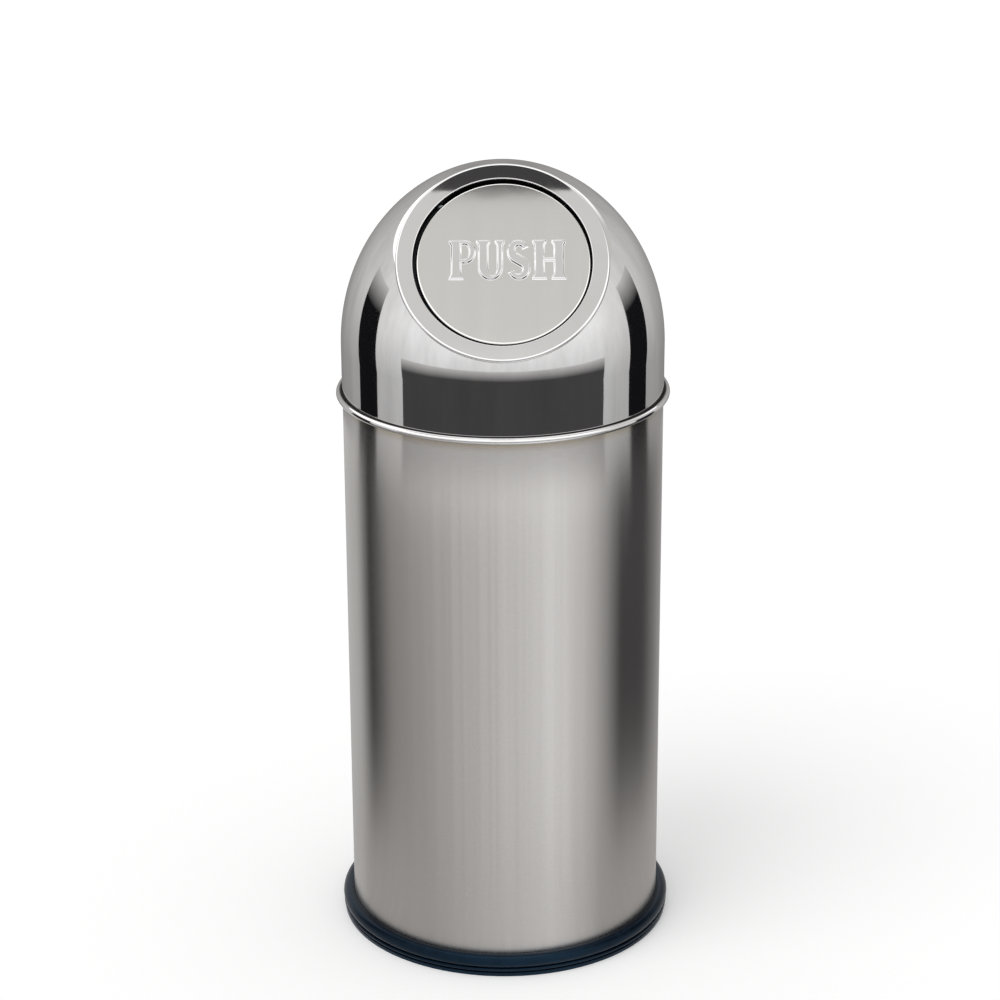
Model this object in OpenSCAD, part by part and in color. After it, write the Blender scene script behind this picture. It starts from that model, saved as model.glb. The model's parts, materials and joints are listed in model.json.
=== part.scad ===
// Dome top push bin: a brushed tube on a rubber floor ring, a lift-out liner
// with a carry bail, and a polished dome lid with a sprung push flap.
// Millimetres, +Z up, origin on the floor under the tube's axis, flap towards -Y.

/* [Body tube] */
// Outer diameter of the brushed tube
tube_d = 300; // [286:1:330]
// Height of the tube's top edge above the floor
tube_top = 530; // [480:1:600]
// Wall of the tube
tube_wall = 0.8; // [0.6:0.1:1.2]
// Height of the folded safety edge inside the mouth
hem_h = 12; // [6:1:20]

/* [Floor ring] */
// How far the rubber ring stands out from the tube
ring_out = 10.6; // [9:0.1:14]
// Height of the rubber ring
ring_h = 20; // [18:0.5:26]
// Rubber under the tube's bottom edge
ring_floor = 5; // [4:0.5:7]
// How far the ring reaches inwards from the tube's outside
ring_in = 9; // [6:0.5:14]
// Height of the ring's inner lip above its channel
ring_lip = 4; // [2:0.5:6]
// Depth of the two grooves round the ring
groove_depth = 3; // [1:0.5:4]

/* [Base plate] */
// Sheet of the base plate
plate_wall = 0.8; // [0.6:0.1:1.5]
// Height of the flange that is welded to the tube
plate_flange = 14; // [8:1:25]
// How far the middle of the plate is pressed up
plate_rise = 3; // [1:0.5:5]
// Width of the low rim round that raised middle, with its slope
plate_rim = 40; // [20:1:70]

/* [Liner] */
// Gap between the liner's wall at its rim and the tube's folded edge
liner_room = 13.4; // [11:0.1:30]
// How much narrower the liner's radius is at its foot
liner_taper = 8; // [4:0.5:20]
// Height of the liner's rim above the floor
liner_top = 420; // [360:1:426]
// Sheet of the liner
liner_wall = 0.7; // [0.5:0.1:1.2]
// Height of the straight foot
foot_h = 14; // [12:1:30]
// How far the liner's bottom is set up into its foot
foot_recess = 8; // [6:0.5:10]
// Diameter of the wire in the rolled rim
rim_wire_d = 3.2; // [2:0.1:4]

/* [Bail] */
// Diameter of the bail's wire
bail_wire_d = 4.5; // [3.5:0.1:5]
// How far the ball at each end of the bail's bow stands out from its wire
bail_ball_over = 0.6; // [0.3:0.1:1]
// Diameter of the grip
grip_d = 17; // [14:0.5:20]
// Length of the grip along the bail
grip_len = 110; // [80:1:140]
// Width of each ear
ear_w = 22; // [16:1:30]
// Sheet of the ears
ear_wall = 1.5; // [1:0.1:2]
// Diameter of the ear rivets
ear_rivet_d = 3.2; // [2.4:0.1:4]
// Distance between the two rivets of an ear
ear_rivet_step = 12; // [9:0.5:20]
// Distance from the lower rivet to the ear's lower end
ear_end = 7; // [5:0.5:12]

/* [Dome lid] */
// Sheet of the dome
dome_wall = 0.8; // [0.6:0.1:1.2]
// Height of the straight skirt, from the tube's edge to where the dome springs
skirt_h = 50.4; // [40:0.1:70]
// How far the skirt's outside stands past the tube's
skirt_over = 0.4; // [0.3:0.1:0.8]
// Height of the dome's cap above its skirt
cap_rise = 168.2; // [160:0.1:176]
// Diameter of the rolled bead at the skirt's edge
bead_d = 5.8; // [4.5:0.1:7]
// Sheet of the collar inside the lid
collar_wall = 1; // [0.6:0.1:1.5]
// How far the collar reaches down into the tube
collar_drop = 25; // [15:1:40]
// How far the collar reaches up inside the skirt
collar_rise = 26; // [12:1:40]

/* [Flap ring] */
// Angle of the ring's face from level
face_tilt = 52; // [48:0.5:56]
// How far the ring's centre lies above the line square to the face through the dome's centre
face_up = 21.4; // [16:0.1:26]
// How far the ring's edge stands off the dome, square to the face, where it is nearest
frame_stand = 6.54; // [5:0.01:12]
// Diameter of the opening
opening_d = 160; // [130:1:176]
// Width of the ring's face, from the opening to its outer edge
flange_w = 15.5; // [13:0.5:20]
// Sheet of the ring
frame_wall = 1.2; // [0.8:0.1:1.4]
// Radius of the ring's rounded outer edge
frame_edge_r = 2.3; // [1.8:0.1:2.8]
// How far the rounded edge hangs over the neck
frame_over = 3.7; // [3.2:0.1:4.2]
// How far the neck reaches in past the dome's cut where that lies deepest
neck_past = 5.8; // [4:0.1:12]
// Depth of the opening's lip behind the face
lip_depth = 8; // [6:0.5:9]
// Width of each spring clip behind the dome
clip_w = 14; // [8:1:20]
// Sheet of the spring clips
clip_wall = 1; // [0.8:0.1:1.4]
// How far each clip reaches out behind the dome
clip_reach = 11; // [7:1:14]

/* [Flap] */
// Gap between the flap's edge and the opening
flap_gap = 2.5; // [1.5:0.1:3]
// How far the flap's face lies behind the ring's
flap_recess = 2.5; // [1.5:0.1:4]
// Sheet of the flap and of its backing plate
flap_wall = 1; // [0.8:0.1:1.2]
// Radius of the flap's rounded edge
flap_edge_r = 2.5; // [2:0.1:3.5]
// How far the backing plate reaches behind the lip
back_over = 5; // [4:0.25:6]
// Height of the rubber buffers
buffer_h = 2; // [1.5:0.1:3]
// Diameter of the rubber buffers
buffer_d = 6; // [5:0.25:7]

/* [Flap hinge] */
// Distance of the hinge below the top of the neck's inside
hinge_drop = 30.6; // [26:0.2:36]
// Distance of the hinge behind the ring's face
hinge_in = 15; // [14.5:0.1:16]
// Diameter of the hinge rod
rod_d = 5; // [4:0.1:5.2]
// Distance from each bracket's inner face to the neck, along the rod
bracket_reach = 12.9; // [10:0.1:16]
// Sheet of the brackets
bracket_wall = 2; // [1.5:0.1:2]
// Outer diameter of the brackets' eyes
eye_d = 10; // [9:0.1:10.5]
// Distance of each knuckle from the middle
knuckle_x = 23; // [18:0.5:24]
// Length of each knuckle
knuckle_len = 14; // [10:0.5:15]
// Outer diameter of the knuckles
knuckle_d = 8; // [7.5:0.1:8.4]
// Sheet of the knuckle straps
strap_wall = 1.2; // [0.8:0.1:1.4]
// Diameter of the knuckle rivets
flap_rivet_d = 3; // [2:0.1:3.5]
// Distance between the two rivets of a strap
flap_rivet_step = 7; // [6:0.5:12]
// Distance from the lower rivet to the strap's lower end
strap_end = 5; // [4:0.5:10]
// Diameter of the spring wire
spring_wire_d = 1.6; // [1.2:0.1:1.8]
// Length of each spring's coil
spring_len = 12; // [8:0.5:13]
// How far each spring's lower leg reaches down the flap
spring_leg = 30; // [20:1:40]
// Gap between each spring's coil and the rod inside it
spring_rod_gap = 0.5; // [0.3:0.1:0.8]
// Gap between each spring's coil and the knuckle beside it
spring_side_gap = 3; // [1:0.5:5]

/* [Clearances] */
// Gap between the tube's edge and the lid that rests on it, and under other loose pieces
seat_gap = 0.3; // [0.2:0.05:0.5]
// Gap between the collar and the folded edge
collar_gap = 0.4; // [0.3:0.05:1]
// Radial clearance of each turning pin in its hole
pin_gap = 0.05; // [0.02:0.01:0.08]
// Gap between the ring's neck and the edge of the dome's cut
cut_gap = 0.3; // [0.1:0.05:0.5]
// Gap between the rubber ring and the tube and plate it is pushed onto
push_gap = 0.12; // [0.05:0.01:0.2]

/* [Hidden] */
$fn = 96;

brushed = "#b4b0ad";
polished = "#dfe1e3";
zinc = "#a9adb0";
black = "#202427";

// Body
tube_r = tube_d / 2;
tube_in = tube_r - tube_wall;
hem_in = tube_in - tube_wall;
plate_z = ring_floor + ring_lip + push_gap;
ring_r = tube_r + ring_out;

// Liner
liner_r = hem_in - liner_room;
foot_r = liner_r - liner_taper;
liner_z = plate_z + plate_wall + seat_gap;
curl_in = rim_wire_d / 2 + 0.1;
curl_r = curl_in + liner_wall + 0.2;
curl_x = liner_r - liner_wall + curl_r - 0.2;
curl_z = liner_top - curl_r;
ear_x = curl_x + curl_r + seat_gap;
ear_drop = 5;
ear_web_z = liner_top - 2 * curl_r - ear_drop;
ear_rivet_drop = 9;
ear_rivet_z = [ear_web_z - ear_rivet_drop, ear_web_z - ear_rivet_drop - ear_rivet_step];

// Bail
wire_r = bail_wire_d / 2;
grip_r = grip_d / 2;
bail_ball_r = wire_r + bail_ball_over;
bail_z = liner_top + seat_gap + bail_ball_r;
bail_r = ear_x - seat_gap - bail_ball_r;
grip_half_angle = grip_len / bail_r * 90 / PI;
bail_rest = asin((grip_r - bail_ball_r) / (bail_r * cos(grip_half_angle)));
pin_head_h = 1.8;
pin_head_r = wire_r + 1.4;

// Lid
skirt_r = tube_r + skirt_over;
skirt_in = skirt_r - dome_wall;
lid_z = tube_top + seat_gap;
spring_z = lid_z + skirt_h;
bead_r = bead_d / 2;
bead_x = skirt_r + bead_r - 0.2;
dome_top = spring_z + cap_rise;
collar_r = hem_in - collar_gap;

// Flap ring
opening_r = opening_d / 2;
frame_r = opening_r + flange_w;
neck_r = frame_r - frame_over;
neck_in = neck_r - frame_wall;
cut_r = neck_r + cut_gap;
face_out = frame_stand + max(dome_out(0, face_up - frame_r),
                             dome_out(frame_r, face_up),
                             dome_out(0, face_up + frame_r));
neck_depth = neck_past + face_out - min(dome_out(neck_r, face_up), dome_out(0, face_up + neck_r));

// Flap
flap_r = opening_r - flap_gap;
buffer_z = -lip_depth - seat_gap;
back_z = buffer_z - buffer_h;
back_r = opening_r + back_over;
hinge_up = neck_in - hinge_drop;
back_top = hinge_up - 6;
strap_z = back_z - flap_wall;
rod_r = rod_d / 2;
rod_bore_r = rod_r + pin_gap;
cap_w = 2.5;
cap_r = 4.6;
bracket_x = sqrt(pow(neck_in, 2) - pow(hinge_up, 2)) - bracket_reach;
rod_x = bracket_x + bracket_wall + seat_gap + cap_w + 1;
flap_rivet_drop = 10;
flap_rivet_y = [hinge_up - flap_rivet_drop, hinge_up - flap_rivet_drop - flap_rivet_step];
strap_low = flap_rivet_y[1] - strap_end;
spring_x = knuckle_x + knuckle_len / 2 + spring_side_gap;
spring_wire_r = spring_wire_d / 2;
spring_mean_r = rod_r + spring_wire_r + spring_rod_gap;

echo(flap_pivot = face_point(0, hinge_up, -hinge_in));
echo(bail_pivot = [0, 0, bail_z], bail_rest = bail_rest);
echo(overall_top = max(dome_top, face_point(0, frame_r, -frame_edge_r).z));

// How far out, square to the face, the dome reaches on the line at (x, y) beside its centre
function dome_out(x, y) =
    let (across = sin(face_tilt) / skirt_r,
         along = cos(face_tilt) / cap_rise,
         a = pow(across, 2) + pow(along, 2),
         b = y * sin(face_tilt) * cos(face_tilt) * (1 / pow(cap_rise, 2) - 1 / pow(skirt_r, 2)),
         c = (pow(x, 2) + pow(y * cos(face_tilt), 2)) / pow(skirt_r, 2)
             + pow(y * sin(face_tilt) / cap_rise, 2) - 1)
    (sqrt(pow(b, 2) - a * c) - b) / a;

// A point of the flap ring's own frame, in the part's frame
function face_point(x, y, z) = [x,
    (face_up + y) * cos(face_tilt) - (face_out + z) * sin(face_tilt),
    spring_z + (face_up + y) * sin(face_tilt) + (face_out + z) * cos(face_tilt)];

// Puts children on the flap ring's face: +Z out of the face, +Y up along it
module on_face() {
    translate([0, 0, spring_z])
        rotate([face_tilt, 0, 0])
            translate([0, face_up, face_out])
                children();
}

module mirrored_x() {
    children();
    mirror([1, 0, 0]) children();
}

module ring_profile(r_in, r_out, z_low, z_high) {
    translate([r_in, z_low]) square([r_out - r_in, z_high - z_low]);
}

module tube_ring(r_in, r_out, z_low, z_high) {
    difference() {
        translate([0, 0, z_low]) cylinder(h = z_high - z_low, r = r_out);
        translate([0, 0, z_low - 1]) cylinder(h = z_high - z_low + 2, r = r_in);
    }
}

module rod_between(p, q, r) {
    d = q - p;
    translate(p)
        rotate([0, acos(d.z / norm(d)), atan2(d.y, d.x)])
            cylinder(h = norm(d), r = r);
}

module along_x(x_low, x_high, y, z, r) {
    translate([x_low, y, z])
        rotate([0, 90, 0])
            cylinder(h = x_high - x_low, r = r);
}

// ---- Body ----

module body_tube() {
    color(brushed)
        rotate_extrude() {
            ring_profile(tube_in, tube_r, ring_floor + push_gap, tube_top);
            ring_profile(hem_in, tube_in + 0.1, tube_top - hem_h, tube_top);
        }
}

module base_plate() {
    flat_r = tube_in - plate_rim;
    slope = 6;
    top = plate_z + plate_wall;
    color(zinc)
        rotate_extrude() {
            polygon([[0, plate_z + plate_rise], [flat_r, plate_z + plate_rise],
                     [flat_r + slope, plate_z], [tube_in, plate_z], [tube_in, top],
                     [flat_r + slope, top], [flat_r, top + plate_rise], [0, top + plate_rise]]);
            ring_profile(tube_in - plate_wall, tube_in, plate_z, plate_z + plate_flange);
        }
}

module base_ring() {
    round_r = ring_out * 0.62;
    rib_r = 1.6;
    groove_w = 1.3;
    rib_z = ring_floor + 1.7;
    groove_r = ring_r - groove_depth;
    foot_top = rib_z - rib_r - groove_w;
    color(black)
        rotate_extrude() {
            difference() {
                union() {
                    ring_profile(tube_r + push_gap, ring_r - round_r, 0, ring_h);
                    ring_profile(tube_r + push_gap, groove_r, 0, ring_h - round_r);
                    intersection() {
                        translate([ring_r - round_r, ring_h - round_r]) circle(round_r);
                        ring_profile(ring_r - round_r, ring_r + 1, 0, ring_h + 1);
                    }
                }
                ring_profile(groove_r, ring_r + 1, -1, rib_z + rib_r + groove_w);
            }
            ring_profile(tube_r - ring_in, groove_r, 0, ring_floor);
            ring_profile(tube_r - ring_in, tube_in - 0.2, ring_floor - 1, ring_floor + ring_lip);
            ring_profile(groove_r - 1, ring_r - rib_r - 0.4, rib_z - rib_r, rib_z + rib_r);
            translate([ring_r - rib_r - 0.4, rib_z]) circle(rib_r);
            ring_profile(groove_r - 1, ring_r - 1.2, 0, foot_top);
        }
}

// ---- Liner ----

module liner_bucket() {
    slot = [1.3, 2];
    color(zinc)
        difference() {
            rotate_extrude()
                difference() {
                    union() {
                        polygon([[foot_r - liner_wall, liner_z], [foot_r, liner_z],
                                 [foot_r, liner_z + foot_h], [liner_r, curl_z],
                                 [liner_r - liner_wall, curl_z],
                                 [foot_r - liner_wall, liner_z + foot_h]]);
                        translate([curl_x, curl_z]) circle(curl_r);
                    }
                    translate([curl_x, curl_z]) circle(curl_in);
                    translate([liner_r + 0.1, curl_z - curl_r - 0.5]) square(slot);
                }
            for (z = ear_rivet_z)
                along_x(-liner_r - 5, liner_r + 5, 0, z, ear_rivet_d / 2 + pin_gap);
        }
}

module liner_bottom() {
    r = foot_r - liner_wall;
    color(zinc)
        rotate_extrude() {
            ring_profile(0, r, liner_z + foot_recess, liner_z + foot_recess + liner_wall);
            ring_profile(r - liner_wall, r, liner_z, liner_z + foot_recess + liner_wall);
        }
}

module rim_wire() {
    color(zinc)
        rotate_extrude()
            translate([curl_x, curl_z]) circle(rim_wire_d / 2);
}

module liner_ears() {
    low = ear_rivet_z[1] - ear_end;
    high = bail_z + wire_r + 5;
    color(zinc)
        mirrored_x()
            difference() {
                union() {
                    translate([ear_x, -ear_w / 2, ear_web_z])
                        cube([ear_wall, ear_w, high - ear_web_z]);
                    translate([liner_r, -ear_w / 2, ear_web_z])
                        cube([ear_x + ear_wall - liner_r, ear_w, ear_wall]);
                    translate([liner_r, -ear_w / 2, low])
                        cube([ear_wall, ear_w, ear_web_z + ear_wall - low]);
                }
                along_x(ear_x - 2, ear_x + ear_wall + 2, 0, bail_z, wire_r + pin_gap);
                for (z = ear_rivet_z)
                    along_x(liner_r - 2, liner_r + ear_wall + 2, 0, z, ear_rivet_d / 2 + pin_gap);
            }
}

module ear_rivets() {
    r = ear_rivet_d / 2;
    head_r = r + 1.8;
    head_h = 1.2;
    inside = liner_r - liner_wall - 1;
    color(zinc)
        mirrored_x()
            for (z = ear_rivet_z) {
                along_x(inside - 0.1, liner_r + ear_wall + 0.1, 0, z, r);
                along_x(liner_r + ear_wall, liner_r + ear_wall + head_h, 0, z, head_r);
                along_x(inside - head_h, inside, 0, z, head_r);
            }
}

// ---- Bail ----

// Puts children in the bail's frame: its plane level, its pivot on the X axis
module on_bail() {
    translate([0, 0, bail_z])
        rotate([bail_rest, 0, 0])
            children();
}

module bail_handle() {
    pin_end = ear_x + ear_wall + seat_gap + pin_head_h;
    color(zinc)
        on_bail() {
            rotate_extrude(angle = 180)
                translate([bail_r, 0]) circle(wire_r);
            mirrored_x() {
                translate([bail_r, 0, 0]) sphere(bail_ball_r);
                along_x(bail_r, pin_end, 0, 0, wire_r);
                along_x(pin_end - pin_head_h, pin_end, 0, 0, pin_head_r);
            }
        }
}

module bail_grip() {
    color(black)
        on_bail()
            rotate([0, 0, 90 - grip_half_angle])
                rotate_extrude(angle = 2 * grip_half_angle)
                    translate([bail_r, 0])
                        difference() {
                            circle(grip_r);
                            circle(wire_r + pin_gap);
                        }
}

// ---- Lid ----

// Half outline of the dome, drawn in from its outside by inset, down to z_low
module dome_profile(inset, z_low) {
    translate([0, spring_z])
        intersection() {
            scale([1, cap_rise / skirt_r]) circle(skirt_r - inset);
            square(2 * cap_rise);
        }
    ring_profile(0, skirt_r - inset, z_low, spring_z);
}

module dome_shell() {
    color(polished)
        difference() {
            rotate_extrude() {
                difference() {
                    dome_profile(0, lid_z);
                    dome_profile(dome_wall, lid_z - 1);
                }
                translate([bead_x, lid_z + bead_r]) circle(bead_r);
            }
            on_face() translate([0, 0, -neck_depth]) cylinder(h = neck_depth + skirt_r, r = cut_r);
        }
}

module lid_collar() {
    step_low = lid_z + 1;
    step_high = step_low + collar_wall;
    color(zinc)
        rotate_extrude() {
            ring_profile(collar_r - collar_wall, collar_r, lid_z - collar_drop, step_high);
            ring_profile(collar_r - collar_wall, skirt_in, step_low, step_high);
            ring_profile(skirt_in - collar_wall, skirt_in, step_low, lid_z + collar_rise);
        }
}

module flap_frame() {
    edge_x = frame_r - frame_edge_r;
    color(polished)
        on_face()
            rotate_extrude() {
                ring_profile(opening_r, edge_x, -frame_wall, 0);
                ring_profile(opening_r, opening_r + frame_wall, -lip_depth, -frame_wall / 2);
                ring_profile(neck_in, neck_r, -neck_depth, -frame_wall / 2);
                translate([edge_x, -frame_edge_r]) circle(frame_edge_r);
            }
}

// A block outside the ring's neck, in the direction a round the face
module clip_block(a, reach) {
    rotate([0, 0, a])
        intersection() {
            translate([0, -clip_w / 2, -neck_depth]) cube([neck_r + reach, clip_w, neck_depth]);
            tube_ring(neck_r + pin_gap, neck_r + reach, -neck_depth, 0);
        }
}

// Four sheet clips: a leg on the neck and a foot that bears on the dome from inside
module frame_clips() {
    low = spring_z - 20;
    near = dome_wall + 0.1;
    color(zinc)
        for (a = [45 : 90 : 315]) {
            intersection() {
                on_face() clip_block(a, clip_reach);
                rotate_extrude()
                    difference() {
                        dome_profile(near, low);
                        dome_profile(near + clip_wall, low - 1);
                    }
            }
            intersection() {
                on_face() clip_block(a, clip_wall);
                rotate_extrude() dome_profile(near, low);
            }
        }
}

module hinge_brackets() {
    foot_w = bracket_reach + 0.1;
    back = -neck_depth - 5;
    color(zinc)
        on_face()
            mirrored_x()
                difference() {
                    intersection() {
                        union() {
                            along_x(bracket_x, bracket_x + bracket_wall, hinge_up, -hinge_in, eye_d / 2);
                            translate([bracket_x, hinge_up, -hinge_in - eye_d / 2])
                                cube([bracket_wall, hinge_drop, eye_d]);
                            difference() {
                                translate([bracket_x, hinge_up, -hinge_in - eye_d / 2])
                                    cube([foot_w, hinge_drop, eye_d]);
                                translate([0, 0, back]) cylinder(h = -back, r = neck_in - frame_wall);
                            }
                        }
                        translate([0, 0, back]) cylinder(h = -back, r = neck_in);
                    }
                    along_x(bracket_x - 2, bracket_x + bracket_wall + 2, hinge_up, -hinge_in, rod_bore_r);
                }
}

module hinge_rod() {
    color(zinc)
        on_face() along_x(-rod_x, rod_x, hinge_up, -hinge_in, rod_r);
}

module rod_caps() {
    low = bracket_x + bracket_wall + seat_gap;
    color(zinc)
        on_face()
            mirrored_x()
                difference() {
                    along_x(low, low + cap_w, hinge_up, -hinge_in, cap_r);
                    along_x(low - 1, low + cap_w + 1, hinge_up, -hinge_in, rod_bore_r);
                }
}

// A torsion spring as a plain sleeve with its two legs, on the +X side
module torsion_spring() {
    leg_x = spring_x + 2;
    post_x = spring_x + spring_len - 2;
    post_y = hinge_up + 13;
    low = -hinge_in - spring_mean_r;
    difference() {
        union() {
            along_x(spring_x, spring_x + spring_len, hinge_up, -hinge_in,
                    spring_mean_r + spring_wire_r);
            rod_between([leg_x, hinge_up - spring_mean_r * 0.9, -hinge_in + spring_mean_r * 0.43],
                        [leg_x, hinge_up - spring_leg, strap_z - spring_wire_r - 0.1], spring_wire_r);
            rod_between([post_x, hinge_up, low], [post_x, post_y, low], spring_wire_r);
            rod_between([post_x, post_y, low - spring_wire_r],
                        [post_x, post_y, -frame_wall - 0.1], spring_wire_r);
        }
        along_x(spring_x - 1, spring_x + spring_len + 1, hinge_up, -hinge_in,
                spring_mean_r - spring_wire_r);
    }
}

module spring_left() {
    color(brushed)
        on_face() mirror([1, 0, 0]) torsion_spring();
}

module spring_right() {
    color(brushed)
        on_face() torsion_spring();
}

// ---- Flap ----

module pan_profile(r, top, low, corner) {
    ring_profile(0, r - corner, low, top);
    ring_profile(0, r, low, top - corner);
    translate([r - corner, top - corner]) circle(corner);
}

module flap_disc() {
    color(polished)
        on_face()
            rotate_extrude()
                difference() {
                    pan_profile(flap_r, -flap_recess, back_z, flap_edge_r);
                    pan_profile(flap_r - flap_wall, -flap_recess - flap_wall, back_z - 1,
                                flap_edge_r - flap_wall);
                    translate([-1, back_z - 2]) square([1, lip_depth + 10]);
                }
}

module flap_back() {
    color(zinc)
        on_face()
            difference() {
                translate([0, 0, strap_z]) cylinder(h = flap_wall, r = back_r);
                translate([-back_r, back_top, strap_z - 1]) cube([2 * back_r, back_r, flap_wall + 2]);
                for (x = [-knuckle_x, knuckle_x], y = flap_rivet_y)
                    translate([x, y, strap_z - 1])
                        cylinder(h = flap_wall + 2, r = flap_rivet_d / 2 + pin_gap);
            }
}

module flap_knuckles() {
    color(zinc)
        on_face()
            for (x = [-knuckle_x, knuckle_x])
                difference() {
                    union() {
                        along_x(x - knuckle_len / 2, x + knuckle_len / 2, hinge_up, -hinge_in,
                                knuckle_d / 2);
                        translate([x - knuckle_len / 2, strap_low, strap_z - strap_wall])
                            cube([knuckle_len, hinge_up - 2 - strap_low, strap_wall]);
                    }
                    along_x(x - knuckle_len, x + knuckle_len, hinge_up, -hinge_in, rod_bore_r);
                    for (y = flap_rivet_y)
                        translate([x, y, strap_z - strap_wall - 1])
                            cylinder(h = strap_wall + 2, r = flap_rivet_d / 2 + pin_gap);
                }
}

module knuckle_rivets() {
    r = flap_rivet_d / 2;
    head_r = r + 1.2;
    head_h = 0.9;
    low = strap_z - strap_wall;
    color(zinc)
        on_face()
            for (x = [-knuckle_x, knuckle_x], y = flap_rivet_y)
                translate([x, y, 0]) {
                    translate([0, 0, low - head_h]) cylinder(h = back_z + 2 * head_h - low, r = r);
                    translate([0, 0, low - head_h]) cylinder(h = head_h, r = head_r);
                    translate([0, 0, back_z]) cylinder(h = head_h, r = head_r);
                }
}

module stop_buffers() {
    color(black)
        on_face()
            for (a = [210, 270, 330])
                rotate([0, 0, a])
                    translate([flap_r + 0.1 + buffer_d / 2, 0, back_z])
                        cylinder(h = buffer_h, r = buffer_d / 2);
}

body_tube();
base_plate();
base_ring();
liner_bucket();
liner_bottom();
rim_wire();
liner_ears();
ear_rivets();
bail_handle();
bail_grip();
dome_shell();
lid_collar();
flap_frame();
frame_clips();
hinge_brackets();
hinge_rod();
rod_caps();
spring_left();
spring_right();
flap_disc();
flap_back();
flap_knuckles();
knuckle_rivets();
stop_buffers();
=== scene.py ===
import json
import math

import bmesh
import bpy
from mathutils import Matrix, Vector


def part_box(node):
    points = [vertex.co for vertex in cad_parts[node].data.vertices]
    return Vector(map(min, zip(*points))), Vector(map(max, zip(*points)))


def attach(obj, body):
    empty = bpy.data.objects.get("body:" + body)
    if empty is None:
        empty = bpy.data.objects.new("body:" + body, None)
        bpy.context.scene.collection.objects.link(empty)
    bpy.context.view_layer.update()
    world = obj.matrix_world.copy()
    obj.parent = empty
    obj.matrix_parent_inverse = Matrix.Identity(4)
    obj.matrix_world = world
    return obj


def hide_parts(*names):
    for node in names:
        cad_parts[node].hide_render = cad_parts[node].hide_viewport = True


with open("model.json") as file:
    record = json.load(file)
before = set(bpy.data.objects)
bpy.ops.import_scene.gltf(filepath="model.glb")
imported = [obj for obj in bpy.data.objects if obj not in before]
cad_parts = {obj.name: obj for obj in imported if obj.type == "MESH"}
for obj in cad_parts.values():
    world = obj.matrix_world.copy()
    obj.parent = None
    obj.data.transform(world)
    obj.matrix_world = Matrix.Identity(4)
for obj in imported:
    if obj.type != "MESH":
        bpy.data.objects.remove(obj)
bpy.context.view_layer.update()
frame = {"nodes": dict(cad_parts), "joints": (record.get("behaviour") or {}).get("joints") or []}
nodes = frame["nodes"]
joints = {joint["name"]: joint for joint in frame["joints"]}
mm = 0.001
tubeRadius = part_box("body_tube")[1].x
print("frame loaded with", len(nodes), "nodes")

view = {
    "place": (-0.0033, -2.5245, 1.3452),
    "down": 20.08,  # degrees below level
    "roll": 0.28,
    "lens": 101.97,
    "farEnd": 60,
}


def makeCamera():
    data = bpy.data.cameras.new("camera")
    data.lens = view["lens"]
    data.clip_end = view["farEnd"]
    camera = bpy.data.objects.new("camera", data)
    bpy.context.scene.collection.objects.link(camera)
    tip = Matrix.Rotation(math.radians(90 - view["down"]), 4, "X")
    roll = Matrix.Rotation(math.radians(-view["roll"]), 4, "Z")
    camera.matrix_world = Matrix.Translation(view["place"]) @ tip @ roll
    bpy.context.scene.camera = camera


makeCamera()
print("camera set")


# colours are picked on screen, 0 to 255, and sockets take them linear
def tint(red, green, blue):
    def linear(value):
        value = value / 255
        return value / 12.92 if value < 0.04045 else ((value + 0.055) / 1.055) ** 2.4
    return (linear(red), linear(green), linear(blue), 1)


def addNode(tree, kind, values=None, **settings):
    node = tree.nodes.new(kind)
    for key, value in settings.items():
        setattr(node, key, value)
    for key, value in (values or {}).items():
        node.inputs[key].default_value = value
    return node


def join(tree, source, output, target, entry):
    tree.links.new(source.outputs[output], target.inputs[entry])


def newMaterial(name, values):
    material = bpy.data.materials.new(name)
    material.use_nodes = True
    tree = material.node_tree
    shader = tree.nodes["Principled BSDF"]
    for key, value in values.items():
        shader.inputs[key].default_value = value
    return material, tree, shader


def newGroup(name, entries, results):
    group = bpy.data.node_groups.new(name, "ShaderNodeTree")
    for entry, start in entries.items():
        socket = group.interface.new_socket(name=entry, in_out="INPUT", socket_type="NodeSocketFloat")
        socket.default_value = start
    for result in results:
        group.interface.new_socket(name=result, in_out="OUTPUT", socket_type="NodeSocketFloat")
    return group, group.nodes.new("NodeGroupInput"), group.nodes.new("NodeGroupOutput")


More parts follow.
